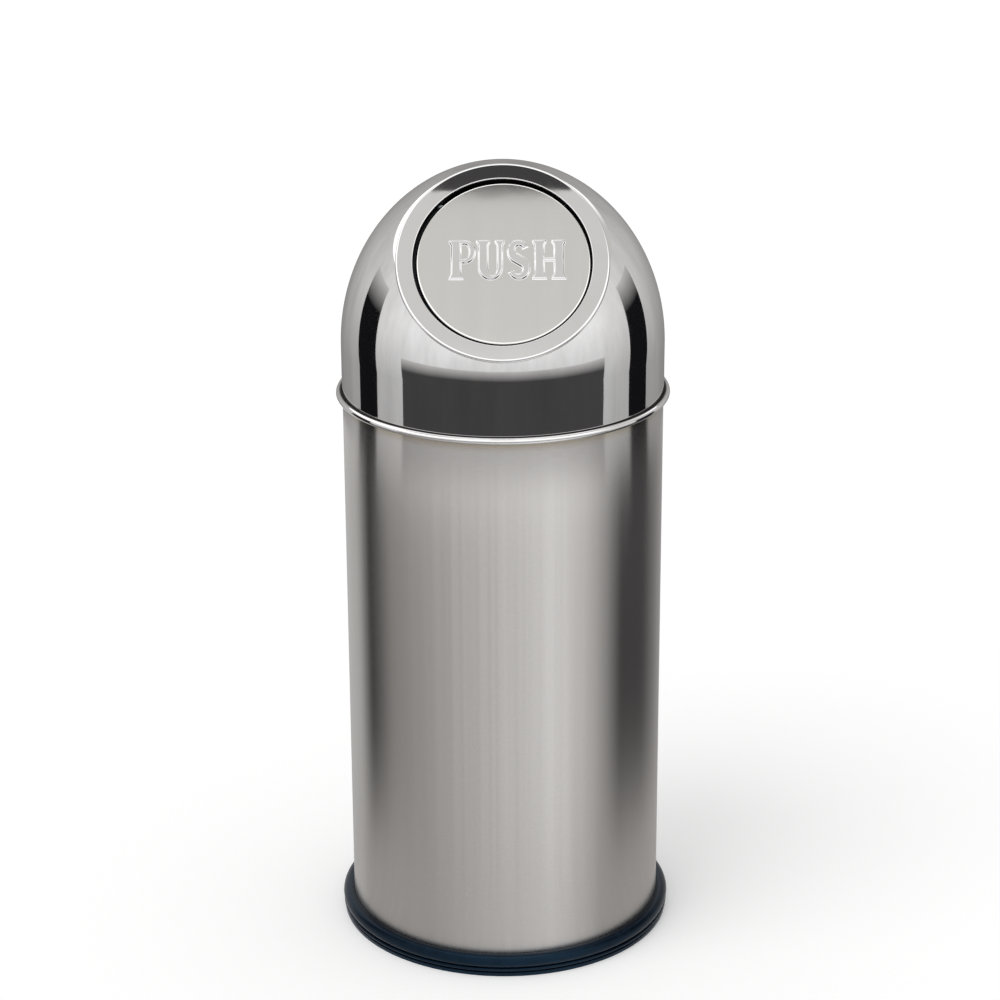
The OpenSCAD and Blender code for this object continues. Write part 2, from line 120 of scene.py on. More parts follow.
# long thin scratches that run round the Z axis, from the piece's own coordinates
def makeRoundBrushing():
    group, entry, result = newGroup("roundBrushing", {
        "Length": 9, "Fineness": 2600, "Contrast": 1}, ["Streak"])
    place = addNode(group, "ShaderNodeTexCoord")
    split = addNode(group, "ShaderNodeSeparateXYZ")
    back = addNode(group, "ShaderNodeMath", operation="MULTIPLY", values={1: -1})
    turn = addNode(group, "ShaderNodeMath", operation="ARCTAN2")
    along = addNode(group, "ShaderNodeMath", operation="MULTIPLY")
    up = addNode(group, "ShaderNodeMath", operation="MULTIPLY")
    flat = addNode(group, "ShaderNodeCombineXYZ")
    noise = addNode(group, "ShaderNodeTexNoise", values={"Scale": 1, "Detail": 3, "Roughness": 0.7})
    spread = addNode(group, "ShaderNodeMapRange",
                     values={"From Min": 0.3, "From Max": 0.7, "To Min": 0, "To Max": 1})
    middle = addNode(group, "ShaderNodeMath", operation="SUBTRACT", values={1: 0.5})
    strong = addNode(group, "ShaderNodeMath", operation="MULTIPLY")
    again = addNode(group, "ShaderNodeMath", operation="ADD", values={1: 0.5}, use_clamp=True)
    join(group, place, "Object", split, 0)
    join(group, split, "Y", back, 0)
    join(group, split, "X", turn, 0)
    join(group, back, 0, turn, 1)
    join(group, turn, 0, along, 0)
    join(group, entry, "Length", along, 1)
    join(group, split, "Z", up, 0)
    join(group, entry, "Fineness", up, 1)
    join(group, along, 0, flat, "X")
    join(group, up, 0, flat, "Y")
    join(group, flat, 0, noise, "Vector")
    join(group, noise, "Fac", spread, "Value")
    join(group, spread, "Result", middle, 0)
    join(group, middle, 0, strong, 0)
    join(group, entry, "Contrast", strong, 1)
    join(group, strong, 0, again, 0)
    join(group, again, 0, result, "Streak")
    return group


# soft cloudy marks of handling, as a mask
def makeHandling():
    group, entry, result = newGroup("handling", {"Size": 22, "Amount": 0.5}, ["Mask"])
    place = addNode(group, "ShaderNodeTexCoord")
    noise = addNode(group, "ShaderNodeTexNoise", values={"Detail": 5, "Roughness": 0.62, "Distortion": 0.4})
    spread = addNode(group, "ShaderNodeMapRange",
                     values={"From Min": 0.46, "From Max": 0.72, "To Min": 0, "To Max": 1})
    amount = addNode(group, "ShaderNodeMath", operation="MULTIPLY")
    join(group, place, "Object", noise, "Vector")
    join(group, entry, "Size", noise, "Scale")
    join(group, noise, "Fac", spread, "Value")
    join(group, spread, "Result", amount, 0)
    join(group, entry, "Amount", amount, 1)
    join(group, amount, 0, result, "Mask")
    return group


# slow waves of a pressed or rolled sheet, as a height
def makeSheetWaves():
    group, entry, result = newGroup("sheetWaves", {"Size": 16}, ["Height"])
    place = addNode(group, "ShaderNodeTexCoord")
    noise = addNode(group, "ShaderNodeTexNoise", values={"Detail": 1.5, "Roughness": 0.4})
    join(group, place, "Object", noise, "Vector")
    join(group, entry, "Size", noise, "Scale")
    join(group, noise, "Fac", result, "Height")
    return group


roundBrushing = makeRoundBrushing()
handling = makeHandling()
sheetWaves = makeSheetWaves()


def useGroup(tree, group, values):
    node = addNode(tree, "ShaderNodeGroup", node_tree=group)
    for key, value in values.items():
        node.inputs[key].default_value = value
    return node


# the colour and roughness of metal that was never polished; the colour is dark, as painted shade for the
# flap's gap and the bead's creases
millAndShade = {"colour": tint(46, 46, 47), "rough": 0.5}


# the shader's colour and roughness, dulled where a piece was never polished; the darker colour there is
# painted shade
def setFinishAndShade(tree, shader, colour, rough):
    rawAndShade = addNode(tree, "ShaderNodeAttribute", attribute_name="unpolishedAndShade")
    dullAndShadeColour = addNode(tree, "ShaderNodeMix", data_type="RGBA")
    dullAndShadeColour.inputs["B"].default_value = millAndShade["colour"]
    dullRough = addNode(tree, "ShaderNodeMix", data_type="FLOAT")
    dullRough.inputs["B"].default_value = millAndShade["rough"]
    join(tree, rawAndShade, "Fac", dullAndShadeColour, "Factor")
    join(tree, colour, "Result", dullAndShadeColour, "A")
    join(tree, rawAndShade, "Fac", dullRough, "Factor")
    join(tree, rough, "Result", dullRough, "A")
    join(tree, dullAndShadeColour, "Result", shader, "Base Color")
    join(tree, dullRough, "Result", shader, "Roughness")


def rampBetween(tree, source, output, low, high):
    ramp = addNode(tree, "ShaderNodeMapRange", values={"To Min": low, "To Max": high})
    join(tree, source, output, ramp, "Value")
    return ramp


def colourBetween(tree, source, output, dark, light):
    mix = addNode(tree, "ShaderNodeMix", data_type="RGBA")
    mix.inputs["A"].default_value = dark
    mix.inputs["B"].default_value = light
    join(tree, source, output, mix, "Factor")
    return mix


def bumpFrom(tree, source, output, strength, depth, shader):
    bump = addNode(tree, "ShaderNodeBump", values={"Strength": strength, "Distance": depth})
    join(tree, source, output, bump, "Height")
    join(tree, bump, "Normal", shader, "Normal")
    return bump


brushed = {
    "dark": tint(204, 201, 199),
    "light": tint(216, 214, 212),
    "roughLow": 0.19,
    "roughHigh": 0.24,
    "stretch": 1,
    "grainDark": tint(205, 202, 200),
}


# painted shade: the tube is tinted tan and darker just under the lid, standing in for the shadow and
# reflection of the lid's bead
paintedLidShade = {"top": 0.531, "foot": 0.52, "tan": tint(232, 221, 198), "share": 0.9}
# the tube's upright weld is at its back
weld = {"half": 0.5 * mm, "soft": 0.6 * mm, "colour": tint(150, 147, 144)}


# mixes the painted shade under the lid into the tube's colour
def lidShade(tree, colour):
    place = addNode(tree, "ShaderNodeTexCoord")
    split = addNode(tree, "ShaderNodeSeparateXYZ")
    height = addNode(tree, "ShaderNodeMapRange", interpolation_type="SMOOTHSTEP", values={
        "From Min": paintedLidShade["foot"], "From Max": paintedLidShade["top"], "To Min": 0, "To Max": paintedLidShade["share"]})
    mix = addNode(tree, "ShaderNodeMix", data_type="RGBA", blend_type="MULTIPLY")
    mix.inputs["B"].default_value = paintedLidShade["tan"]
    join(tree, place, "Object", split, 0)
    join(tree, split, "Z", height, "Value")
    join(tree, height, "Result", mix, "Factor")
    join(tree, colour, "Result", mix, "A")
    return mix


def weldLine(tree, colour):
    place = addNode(tree, "ShaderNodeTexCoord")
    split = addNode(tree, "ShaderNodeSeparateXYZ")
    away = addNode(tree, "ShaderNodeMath", operation="ABSOLUTE")
    near = addNode(tree, "ShaderNodeMapRange", values={
        "From Min": weld["half"] + weld["soft"], "From Max": weld["half"]})
    behind = addNode(tree, "ShaderNodeMath", operation="GREATER_THAN", values={1: 0})
    both = addNode(tree, "ShaderNodeMath", operation="MULTIPLY")
    mix = addNode(tree, "ShaderNodeMix", data_type="RGBA")
    mix.inputs["B"].default_value = weld["colour"]
    join(tree, place, "Object", split, 0)
    join(tree, split, "X", away, 0)
    join(tree, away, 0, near, "Value")
    join(tree, split, "Y", behind, 0)
    join(tree, near, "Result", both, 0)
    join(tree, behind, 0, both, 1)
    join(tree, both, 0, mix, "Factor")
    join(tree, colour, "Result", mix, "A")
    return mix


def brushedSteel():
    material, tree, shader = newMaterial("brushedSteel", {
        "Metallic": 1, "Anisotropic": brushed["stretch"], "Anisotropic Rotation": 0.25})
    streaks = useGroup(tree, roundBrushing, {"Length": 11, "Fineness": 3200, "Contrast": 0.8})
    grain = useGroup(tree, roundBrushing, {"Length": 55, "Fineness": 620, "Contrast": 0.9})
    streakColour = colourBetween(tree, streaks, "Streak", brushed["dark"], brushed["light"])
    colour = colourBetween(tree, grain, "Streak", brushed["grainDark"], brushed["light"])
    join(tree, streakColour, "Result", colour, "B")
    rough = rampBetween(tree, streaks, "Streak", brushed["roughLow"], brushed["roughHigh"])
    tangent = addNode(tree, "ShaderNodeTangent", direction_type="RADIAL", axis="Z")
    shaded = weldLine(tree, lidShade(tree, colour))
    join(tree, shaded, "Result", shader, "Base Color")
    join(tree, rough, "Result", shader, "Roughness")
    join(tree, tangent, "Tangent", shader, "Tangent")
    bumpFrom(tree, streaks, "Streak", 0.05, 0.05 * mm, shader)
    return material


polished = {
    "clean": tint(228, 227, 227),
    "marked": tint(222, 221, 220),
    "roughLow": 0.035,
    "roughHigh": 0.065,
    "waves": 0.12,
}


def polishedSteel():
    material, tree, shader = newMaterial("polishedSteel", {"Metallic": 1})
    marks = useGroup(tree, handling, {"Size": 26, "Amount": 0.6})
    waves = useGroup(tree, sheetWaves, {"Size": 15})
    colour = colourBetween(tree, marks, "Mask", polished["clean"], polished["marked"])
    rough = rampBetween(tree, marks, "Mask", polished["roughLow"], polished["roughHigh"])
    setFinishAndShade(tree, shader, colour, rough)
    bumpFrom(tree, waves, "Height", polished["waves"], 1.5 * mm, shader)
    return material


satin = {
    "dark": tint(219, 218, 216),
    "light": tint(229, 228, 225),
    "roughLow": 0.06,
    "roughHigh": 0.11,
    "grain": (46, 3, 3),  # streaks down the slope of the flap
}


def satinSteel():
    material, tree, shader = newMaterial("satinSteel", {"Metallic": 1})
    place = addNode(tree, "ShaderNodeTexCoord")
    stretch = addNode(tree, "ShaderNodeMapping")
    stretch.inputs["Scale"].default_value = satin["grain"]
    streaks = addNode(tree, "ShaderNodeTexNoise", values={"Scale": 1, "Detail": 5, "Roughness": 0.55})
    join(tree, place, "Object", stretch, "Vector")
    join(tree, stretch, "Vector", streaks, "Vector")
    colour = colourBetween(tree, streaks, "Fac", satin["dark"], satin["light"])
    rough = rampBetween(tree, streaks, "Fac", satin["roughLow"], satin["roughHigh"])
    setFinishAndShade(tree, shader, colour, rough)
    waves = useGroup(tree, sheetWaves, {"Size": 20})
    bumpFrom(tree, waves, "Height", 0.16, 1 * mm, shader)
    return material


def zincSheet():
    material, tree, shader = newMaterial("zincSheet", {"Metallic": 1})
    place = addNode(tree, "ShaderNodeTexCoord")
    spangle = addNode(tree, "ShaderNodeTexVoronoi", values={"Scale": 110, "Randomness": 1})
    grey = addNode(tree, "ShaderNodeRGBToBW")
    join(tree, place, "Object", spangle, "Vector")
    join(tree, spangle, "Color", grey, "Color")
    colour = colourBetween(tree, grey, "Val", tint(150, 154, 157), tint(196, 200, 202))
    rough = rampBetween(tree, grey, "Val", 0.34, 0.52)
    join(tree, colour, "Result", shader, "Base Color")
    join(tree, rough, "Result", shader, "Roughness")
    bumpFrom(tree, grey, "Val", 0.08, 0.1 * mm, shader)
    return material


# painted shade: the flap's backing plate is made near black, standing in for the shade in the gap round the
# flap
def paintedGapShadeSheet():
    material, tree, shader = newMaterial("paintedGapShadeSheet", {"Metallic": 1})
    marks = useGroup(tree, handling, {"Size": 60, "Amount": 1})
    colour = colourBetween(tree, marks, "Mask", tint(38, 40, 42), tint(58, 60, 62))
    rough = rampBetween(tree, marks, "Mask", 0.4, 0.55)
    join(tree, colour, "Result", shader, "Base Color")
    join(tree, rough, "Result", shader, "Roughness")
    bumpFrom(tree, marks, "Mask", 0.1, 0.1 * mm, shader)
    return material


def plainWire():
    material, tree, shader = newMaterial("plainWire", {"Metallic": 1})
    marks = useGroup(tree, handling, {"Size": 160, "Amount": 1})
    colour = colourBetween(tree, marks, "Mask", tint(196, 198, 200), tint(160, 161, 163))
    rough = rampBetween(tree, marks, "Mask", 0.22, 0.42)
    join(tree, colour, "Result", shader, "Base Color")
    join(tree, rough, "Result", shader, "Roughness")
    bumpFrom(tree, marks, "Mask", 0.1, 0.1 * mm, shader)
    return material


def springSteel():
    material, tree, shader = newMaterial("springSteel", {"Metallic": 1})
    marks = useGroup(tree, handling, {"Size": 300, "Amount": 1})
    colour = colourBetween(tree, marks, "Mask", tint(120, 122, 126), tint(84, 82, 82))
    rough = rampBetween(tree, marks, "Mask", 0.25, 0.45)
    join(tree, colour, "Result", shader, "Base Color")
    join(tree, rough, "Result", shader, "Roughness")
    return material


def blackRubber():
    material, tree, shader = newMaterial("blackRubber", {
        "Specular IOR Level": 0.5, "Specular Tint": tint(150, 208, 255)})
    marks = useGroup(tree, handling, {"Size": 40, "Amount": 1})
    colour = colourBetween(tree, marks, "Mask", tint(2, 8, 20), tint(8, 20, 34))
    rough = rampBetween(tree, marks, "Mask", 0.22, 0.36)
    place = addNode(tree, "ShaderNodeTexCoord")
    grain = addNode(tree, "ShaderNodeTexNoise", values={"Scale": 1500, "Detail": 2})
    join(tree, colour, "Result", shader, "Base Color")
    join(tree, rough, "Result", shader, "Roughness")
    join(tree, place, "Object", grain, "Vector")
    bumpFrom(tree, grain, "Fac", 0.25, 0.15 * mm, shader)
    return material


def gripPlastic():
    material, tree, shader = newMaterial("gripPlastic", {"Specular IOR Level": 0.5})
    marks = useGroup(tree, handling, {"Size": 90, "Amount": 1})
    colour = colourBetween(tree, marks, "Mask", tint(26, 27, 29), tint(40, 41, 43))
    rough = rampBetween(tree, marks, "Mask", 0.38, 0.52)
    place = addNode(tree, "ShaderNodeTexCoord")
    grain = addNode(tree, "ShaderNodeTexNoise", values={"Scale": 2200, "Detail": 2})
    join(tree, colour, "Result", shader, "Base Color")
    join(tree, rough, "Result", shader, "Roughness")
    join(tree, place, "Object", grain, "Vector")
    bumpFrom(tree, grain, "Fac", 0.3, 0.1 * mm, shader)
    return material


finishes = {
    "brushed_steel": brushedSteel(),
    "polished_steel": polishedSteel(),
    "satin_steel": satinSteel(),
    "zinc_sheet": zincSheet(),
    "plain_wire": plainWire(),
    "spring_steel": springSteel(),
    "black_rubber": blackRubber(),
    "grip_plastic": gripPlastic(),
}
print("materials made:", len(finishes))


def arc(x, z, radius, start, end, steps, high=None):
    reach = radius if high is None else high
    turns = [math.radians(start + (end - start) * i / steps) for i in range(steps + 1)]
    return [(x + radius * math.cos(a), z + reach * math.sin(a)) for a in turns]


def finishPiece(piece, finish, body, *replaced):
    piece.data.materials.clear()
    piece.data.materials.append(finishes[finish])
    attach(piece, body)
    if replaced:
        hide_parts(*replaced)
    return piece


# inside(place) tells which points of the piece were never polished and take the painted shade
def pieceFrom(name, bm, place=None, sharp=35, inside=None):
    if inside is not None:
        layer = bm.verts.layers.float.new("unpolishedAndShade")
        for vertex in bm.verts:
            vertex[layer] = float(inside(vertex.co))
    if place is not None:
        bmesh.ops.transform(bm, matrix=place, verts=bm.verts)
    mesh = bpy.data.meshes.new(name)
    bm.to_mesh(mesh)
    bm.free()
    mesh.shade_smooth()
    mesh.set_sharp_from_angle(angle=math.radians(sharp))
    piece = bpy.data.objects.new(name, mesh)
    bpy.context.scene.collection.objects.link(piece)
    return piece


# an outline of (radius, height) turned round the Z axis
def spinOutline(outline, steps, closed=True):
    bm = bmesh.new()
    points = [bm.verts.new((r, 0, z)) for r, z in outline]
    ends = points[1:] + points[:1] if closed else points[1:]
    edges = [bm.edges.new(pair) for pair in zip(points, ends)]
    bmesh.ops.spin(bm, geom=points + edges, cent=(0, 0, 0), axis=(0, 0, 1),
                   angle=math.tau, steps=steps, use_merge=True)
    bmesh.ops.remove_doubles(bm, verts=bm.verts, dist=1e-6)
    bmesh.ops.dissolve_degenerate(bm, edges=bm.edges, dist=1e-7)
    bmesh.ops.recalc_face_normals(bm, faces=bm.faces)
    return bm


tube = {
    "wall": 0.8 * mm,
    "hemHeight": 12 * mm,
    "steps": 320,
}


def makeBodyTube():
    low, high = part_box("body_tube")
    wall = tube["wall"]
    inside = high.x - wall
    top = high.z
    outline = [(inside, low.z), (high.x, low.z), (high.x, top - wall)]
    outline += arc(inside, top - wall, wall, 0, 180, 8)[1:]
    outline += [(inside - wall, top - tube["hemHeight"]), (inside, top - tube["hemHeight"])]
    bm = spinOutline(outline, tube["steps"])
    finishPiece(pieceFrom("bodyTube", bm), "brushed_steel", "body", "body_tube")


makeBodyTube()
print("tube made")

floorRing = {
    "roundShare": 0.62,  # of how far the ring stands out
    "floor": 5 * mm,
    "lip": 4 * mm,
    "reachIn": 9 * mm,
    "grooveDepth": 3 * mm,
    "grooveWidth": 1.3 * mm,
    "ribRadius": 1.6 * mm,
    "ribHeight": 6.7 * mm,
    "footInset": 1.2 * mm,
    "ease": 0.5 * mm,
    "steps": 320,
}


def makeBaseRing():
    low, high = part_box("base_ring")
    size = floorRing
    out = high.x
    roundRadius = (out - tubeRadius) * size["roundShare"]
    groove = out - size["grooveDepth"]
    ribX = out - size["ribRadius"] - 0.4 * mm
    ribZ = size["ribHeight"]
    under = ribZ + size["ribRadius"] + size["grooveWidth"]
    footTop = ribZ - size["ribRadius"] - size["grooveWidth"]
    footOut = out - size["footInset"]
    roundX, roundZ = out - roundRadius, high.z - roundRadius
    drop = math.degrees(math.asin((roundZ - under) / roundRadius))
    channelOut = tubeRadius + 0.12 * mm
    channelIn = tubeRadius - tube["wall"] - 0.2 * mm
    inner = tubeRadius - size["reachIn"]
    ease = size["ease"]
    outline = [(inner, 0)]
    outline += arc(footOut - ease, ease, ease, -90, 0, 4)
    outline += arc(footOut - ease, footTop - ease, ease, 0, 90, 4)
    outline += [(groove, footTop), (groove, ribZ - size["ribRadius"])]
    outline += arc(ribX, ribZ, size["ribRadius"], -90, 90, 12)
    outline += [(groove, ribZ + size["ribRadius"]), (groove, under)]
    outline += arc(roundX, roundZ, roundRadius, -drop, 90, 24)
    outline += [(channelOut + ease, high.z), (channelOut, high.z - ease), (channelOut, size["floor"]),
                (channelIn, size["floor"]), (channelIn, size["floor"] + size["lip"]),
                (inner, size["floor"] + size["lip"])]
    bm = spinOutline(outline, size["steps"])
    finishPiece(pieceFrom("baseRing", bm, sharp=50), "black_rubber", "body", "base_ring")


makeBaseRing()
print("floor ring made")

flapRing = {
    "tilt": 52,  # degrees of the face from level
    "hingeUp": 60 * mm,
    "hingeIn": 15 * mm,
    "outer": 95.5 * mm,
    "edge": 2.3 * mm,
    "opening": 80 * mm,
    "innerEdge": 0.7 * mm,
    "sheet": 1.2 * mm,
    "overhang": 3.7 * mm,
    "lipDepth": 8 * mm,
    "neckDepth": 20 * mm,
    "cutGap": 0.3 * mm,
    # below this depth the ring was never polished and takes painted shade
    "rawAndShadeBelow": 0.8 * mm,
    "hold": 0.15 * mm,  # keeps the shading of the flat face flat
    "steps": 320,
}


# the ring's own frame: +Z out of its face, +Y up along it
def facePlace():
    pivot = Vector(joints["flap_push"]["pos_m"])
    turn = Matrix.Rotation(math.radians(flapRing["tilt"]), 4, "X")
    fromHinge = Matrix.Translation((0, -flapRing["hingeUp"], flapRing["hingeIn"]))
    return Matrix.Translation(pivot) @ turn @ fromHinge


onFace = facePlace()


def makeFlapRing():
    size = flapRing
    edge, sheet = size["edge"], size["sheet"]
    edgeX = size["outer"] - edge
    neck = size["outer"] - size["overhang"]
    under = math.degrees(math.acos((neck - edgeX) / edge))
    ease = size["innerEdge"]
    outline = [(size["opening"], -size["lipDepth"])]
    outline += [(size["opening"] + sheet, -size["lipDepth"]), (size["opening"] + sheet, -sheet),
                (neck - sheet, -sheet), (neck - sheet, -size["neckDepth"]), (neck, -size["neckDepth"])]
    outline += arc(edgeX, -edge, edge, -under, 90, 28)
    outline += [(edgeX - size["hold"], 0), (size["opening"] + ease + size["hold"], 0)]
    outline += arc(size["opening"] + ease, -ease, ease, 90, 180, 6)
    outline += [(size["opening"], -ease - size["hold"])]
    bm = spinOutline(outline, size["steps"])
    # the neck and lip behind the face were never polished and take painted shade for the gap round the flap
    rawAndShade = size["rawAndShadeBelow"]
    ring = pieceFrom("flapRing", bm, onFace,
                     inside=lambda co: co.z < -rawAndShade and math.hypot(co.x, co.y) < neck - sheet)
    finishPiece(ring, "polished_steel", "lid", "flap_frame")


makeFlapRing()
print("flap ring made")

dome = {
    "wall": 0.8 * mm,
    "skirtOver": 0.4 * mm,
    "skirtHeight": 50.4 * mm,
    "rise": 168.2 * mm,
    "beadRadius": 2.9 * mm,
    "beadSink": 0.2 * mm,
    # past these angles the bead's top and foot were never polished and take painted shade of its creases
    "beadShadeTop": 96,  # degrees round the bead from its outermost line
    "beadShadeFoot": -50,
    "rows": 84,
    "steps": 360,
}


def makeDome():
    low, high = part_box("dome_shell")
    wide = tubeRadius + dome["skirtOver"]
    spring = low.z + dome["skirtHeight"]
    rise = dome["rise"]
    inWide = wide - dome["wall"]
    inRise = rise * inWide / wide
    outline = arc(0, spring, wide, 90, 0, dome["rows"], rise)
    outline += [(wide, spring - dome["skirtHeight"] * i / 4) for i in range(1, 5)]
    outline += [(inWide, low.z)]
    outline += arc(0, spring, inWide, 0, 90, dome["rows"], inRise)
    piece = pieceFrom("domeShell", spinOutline(outline, dome["steps"], closed=False))
    cutter = bmesh.new()
    cut = flapRing["outer"] - flapRing["overhang"] + flapRing["cutGap"]
    deep = flapRing["neckDepth"]
    bmesh.ops.create_cone(cutter, cap_ends=True, segments=flapRing["steps"], radius1=cut, radius2=cut,
                          depth=wide + deep)
    bmesh.ops.translate(cutter, verts=cutter.verts, vec=(0, 0, (wide - deep) / 2))
    cutPiece(piece, pieceFrom("cutter", cutter, onFace))
    roundNormals(piece.data, wide, rise, spring)
    finishPiece(piece, "polished_steel", "lid", "dome_shell")
    bead = dome["beadRadius"]
    middle = wide + bead - dome["beadSink"]
    ring = arc(middle, low.z + bead, bead, 0, 360, 36)[:-1]

    # the bead's top, where it meets the dome, and its foot take painted crease shade
    def beadDullAndShade(place):
        turn = math.degrees(math.atan2(place.z - low.z - bead, math.hypot(place.x, place.y) - middle))
        return turn > dome["beadShadeTop"] or turn < dome["beadShadeFoot"]
    curl = pieceFrom("domeBead", spinOutline(ring, dome["steps"]), inside=beadDullAndShade)
    finishPiece(curl, "polished_steel", "lid")


def cutPiece(piece, cutter):
    cut = piece.modifiers.new("cut", "BOOLEAN")
    cut.operation = "DIFFERENCE"
    cut.solver = "EXACT"
    cut.object = cutter
    graph = bpy.context.evaluated_depsgraph_get()
    mesh = bpy.data.meshes.new_from_object(piece.evaluated_get(graph))
    piece.modifiers.clear()
    piece.data = mesh
    bpy.data.objects.remove(cutter)


# the true normals of the dome, so that the cut leaves no ripple in its mirror
def roundNormals(mesh, wide, rise, spring):
    shell = 1 - dome["wall"] / wide
    normals = []
    for vertex in mesh.vertices:
        x, y, z = vertex.co
        up = max(0, z - spring)
        level = (x * x + y * y) / wide ** 2 + up * up / rise ** 2
        out = 1 if level > shell else -1
        normal = Vector((x / wide ** 2, y / wide ** 2, up / rise ** 2)).normalized()
        normals.append(normal * out)
    mesh.normals_split_custom_set_from_vertices(normals)


makeDome()
print("dome made")

flap = {
    "gap": 1.8 * mm,
    "sits": (0.9 * mm, -0.6 * mm, 0),  # it hangs a little low and to one side in its opening
    "recess": 2.5 * mm,
    "sheet": 1 * mm,
    "edge": 2.5 * mm,
    "depth": 10.3 * mm,
    "steps": 280,
}


def makeFlap():
    radius = flapRing["opening"] - flap["gap"]
    top, low = -flap["recess"], -flap["depth"]
    edge, sheet = flap["edge"], flap["sheet"]
    outline = [(0, top)] + [(radius * share, top) for share in (0.3, 0.6, 0.9)]
    outline += [(radius - edge - flapRing["hold"], top)]
    outline += arc(radius - edge, top - edge, edge, 90, 0, 14)
    outline += [(radius, low), (radius - sheet, low)]
    outline += arc(radius - edge, top - edge, edge - sheet, 0, 90, 10)
    outline += [(0, top - sheet)]
    bm = spinOutline(outline, flap["steps"], closed=False)
    # the flap's rim wall and underside were never polished and take painted shade for the gap
    pan = pieceFrom("flapDisc", bm, onFace @ Matrix.Translation(flap["sits"]), sharp=50,
                    inside=lambda co: co.z < top - edge)
    finishPiece(pan, "satin_steel", "flap", "flap_disc")


makeFlap()
print("flap made")

# plain slab capitals on a height of 1, each as its outlines, the outer one first
slab = {"stem": 0.285, "thin": 0.175, "over": 0.05, "thick": 0.1, "ease": 0.05}


# the two corners of a foot or head serif, with a slope between slab and stem
def serifEnd(stemX, side, level, up):
    over, thick, ease = slab["over"], slab["thick"], slab["ease"]
    tip = stemX + side * over
    return [(tip, level), (tip, level + up * thick * 0.7), (stemX, level + up * (thick + ease))]


def letterP():
    over, stem, thick = slab["over"], slab["stem"], slab["thick"]
    left, right = over, over + stem
    outer = serifEnd(left, -1, 0, 1)[:1] + serifEnd(right, 1, 0, 1)[:2] + [(right, thick + slab["ease"])]
    outer += [(right, 0.4)] + arc(0.42, 0.7, 0.3, -90, 90, 16, 0.3)
    outer += serifEnd(left, -1, 1, -1) + serifEnd(left, -1, 0, 1)[:0:-1]
    inner = [(right, 0.53)] + arc(0.42, 0.7, 0.1, -90, 90, 12, 0.17) + [(right, 0.87)]
    return [outer, inner]


def letterU():
    over, stem, thin = slab["over"], slab["stem"], slab["thin"]
    wide = 0.765
    right = wide - over
    outer = serifEnd(over, -1, 1, -1)
    outer += arc(wide / 2, 0.32, wide / 2 - over, 180, 360, 20, 0.33)
    outer += serifEnd(right, 1, 1, -1)[::-1] + serifEnd(right - thin, -1, 1, -1)
    middle = (over + stem + right - thin) / 2
    outer += arc(middle, 0.32, (right - thin - over - stem) / 2, 360, 180, 16, 0.2)
    outer += serifEnd(over + stem, 1, 1, -1)[::-1]
    return [outer]


def letterS():
    spine = arc(0.3, 0.725, 0.19, 15, 235, 18, 0.195) + arc(0.3, 0.275, 0.2, 55, -165, 18, 0.2)
    left, right = [], []
    last = len(spine) - 1
    for i, (x, y) in enumerate(spine):
        before, after = spine[max(0, i - 1)], spine[min(last, i + 1)]
        along = Vector((after[0] - before[0], after[1] - before[1])).normalized()
        share = abs(i / last - 0.5) * 2
        half = 0.14 - 0.06 * min(1, share * 1.4) + (0.03 if i in (0, last) else 0)
        left.append((x - along.y * half, y + along.x * half))
        right.append((x + along.y * half, y - along.x * half))
    return [left + right[::-1]]


def letterH():
    over, stem = slab["over"], slab["stem"]
    wide = 0.89
    innerLeft, innerRight = over + stem, wide - over - stem
    right = wide - over
    outer = serifEnd(over, -1, 0, 1)[:1] + serifEnd(innerLeft, 1, 0, 1)
    outer += [(innerLeft, 0.45), (innerRight, 0.45)]
    outer += serifEnd(innerRight, -1, 0, 1)[::-1] + serifEnd(right, 1, 0, 1)
    outer += serifEnd(right, 1, 1, -1)[::-1] + serifEnd(innerRight, -1, 1, -1)
    outer += [(innerRight, 0.56), (innerLeft, 0.56)]
    outer += serifEnd(innerLeft, 1, 1, -1)[::-1] + serifEnd(over, -1, 1, -1)
    outer += serifEnd(over, -1, 0, 1)[:0:-1]
    return [outer]


lettering = {
    "height": 38.4 * mm,
    "narrow": 0.885,
    "raised": 1.4 * mm,
    "slope": 1.8 * mm,  # how wide the pressed edge is
    "slopeCurve": [(0.8, 0.1), (0.6, 0.35), (0.4, 0.65), (0.2, 0.9)],
    "behind": 0.4,  # of the height, and inside the flap's sheet
    "centre": (4.3 * mm, 2.3 * mm),
    # each with the gap after it
    "letters": [(letterP, -0.01), (letterU, 0.05), (letterS, 0.035), (letterH, 0)],
}


def letterCurve():
    scale, narrow, slope = lettering["height"], lettering["narrow"], lettering["slope"]
    curve = bpy.data.curves.new("pushLetters", "CURVE")
    curve.dimensions = "2D"
    curve.fill_mode = "BOTH"
    curve.bevel_mode = "PROFILE"
    for out, up in lettering["slopeCurve"]:
        curve.bevel_profile.points.add(out, up)
    curve.bevel_profile.update()
    curve.bevel_depth = slope
    curve.bevel_resolution = 6
    curve.offset = -slope
    start = 0
    for letter, gap in lettering["letters"]:
        outlines = letter()
        for points in outlines:
            spline = curve.splines.new("POLY")
            spline.points.add(len(points) - 1)
            spline.use_cyclic_u = True
            for point, (x, y) in zip(spline.points, points):
                point.co = ((start + x) * scale * narrow, y * scale, 0, 1)
        start += max(x for x, y in outlines[0]) + gap
    return curve, start * scale * narrow


